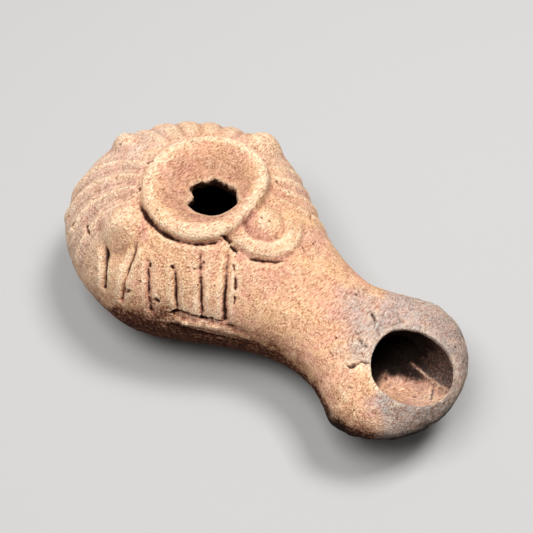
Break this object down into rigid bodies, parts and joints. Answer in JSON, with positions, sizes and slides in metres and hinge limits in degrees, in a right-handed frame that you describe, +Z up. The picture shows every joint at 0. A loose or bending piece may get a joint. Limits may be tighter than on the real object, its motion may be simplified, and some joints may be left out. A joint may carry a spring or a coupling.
{
  "type": "pottery oil lamp",
  "caption": "Moulded clay oil lamp with a round covered bowl, a dished filling hole in a raised ring, and a long nozzle with a wick hole in its broad end.",
  "frame": {"origin": "on the flat foot, about 2 mm in front of its middle and below the back part of the filling hole's ring", "axes": "+X along the lamp towards the tip of the nozzle, +Y to the left of someone looking along +X, +Z up"},
  "size_m": [0.1085, 0.0604, 0.0359],
  "materials": {
    "clay": "unglazed fired clay, matt and worn, sooted round the wick hole"
  },
  "bodies": {
    "root": {"oil_lamp": "clay"}
  },
  "joints": []
}
